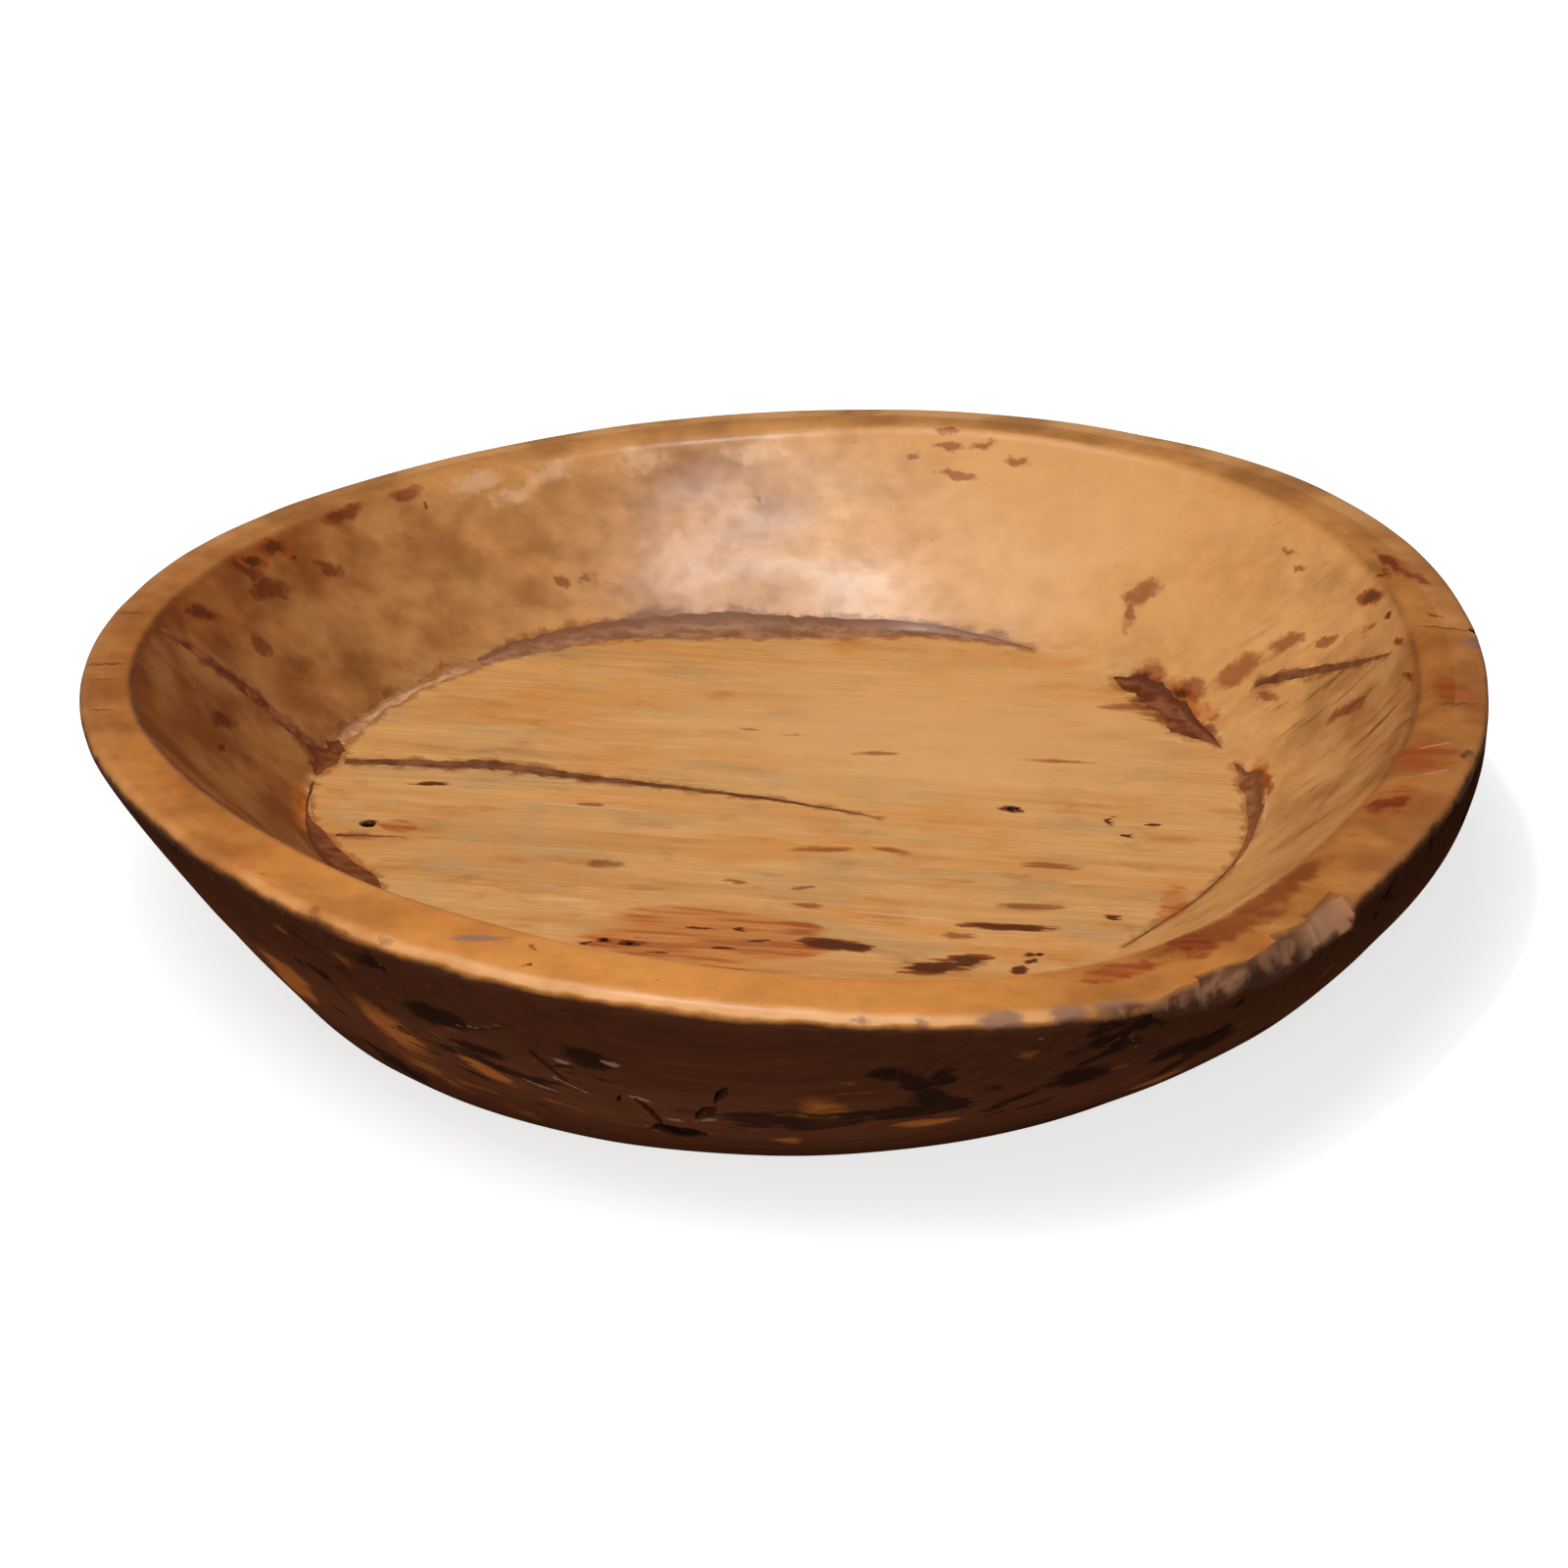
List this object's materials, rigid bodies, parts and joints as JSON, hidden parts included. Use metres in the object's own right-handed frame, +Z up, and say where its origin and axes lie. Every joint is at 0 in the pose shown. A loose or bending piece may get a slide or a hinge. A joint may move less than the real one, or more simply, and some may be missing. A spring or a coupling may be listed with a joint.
{
  "type": "fruit bowl",
  "caption": "Hand-hewn oval wooden fruit bowl with a broad uneven rim, sloping walls, a flat floor and base, and old fills in its cracks and floor corner.",
  "frame": {"origin": "middle of the bowl's outline, on the plane of the base", "axes": "+X along the grain and the longer side, +Y away from the side shown in the picture, +Z up"},
  "size_m": [0.5637, 0.5104, 0.114],
  "materials": {
    "hewn_wood": "waxed and worn, honey brown inside, dark brown outside",
    "dark_fill": "dark brown old filler, slightly shiny",
    "pale_fill": "pale brown old filler",
    "waxy_fill": "brown waxy filler, glossy"
  },
  "bodies": {
    "root": {"bowl_body": "hewn_wood", "floor_crack_fill": "dark_fill", "short_floor_crack_fill": "dark_fill", "end_wall_crack_fill": "dark_fill", "right_wall_crack_fill": "dark_fill", "left_corner_fill": "dark_fill", "rear_left_seam_fill": "pale_fill", "rear_seam_fill": "waxy_fill", "right_rear_corner_fill": "dark_fill", "right_seam_fill": "waxy_fill", "front_left_seam_fill": "waxy_fill"}
  },
  "joints": []
}
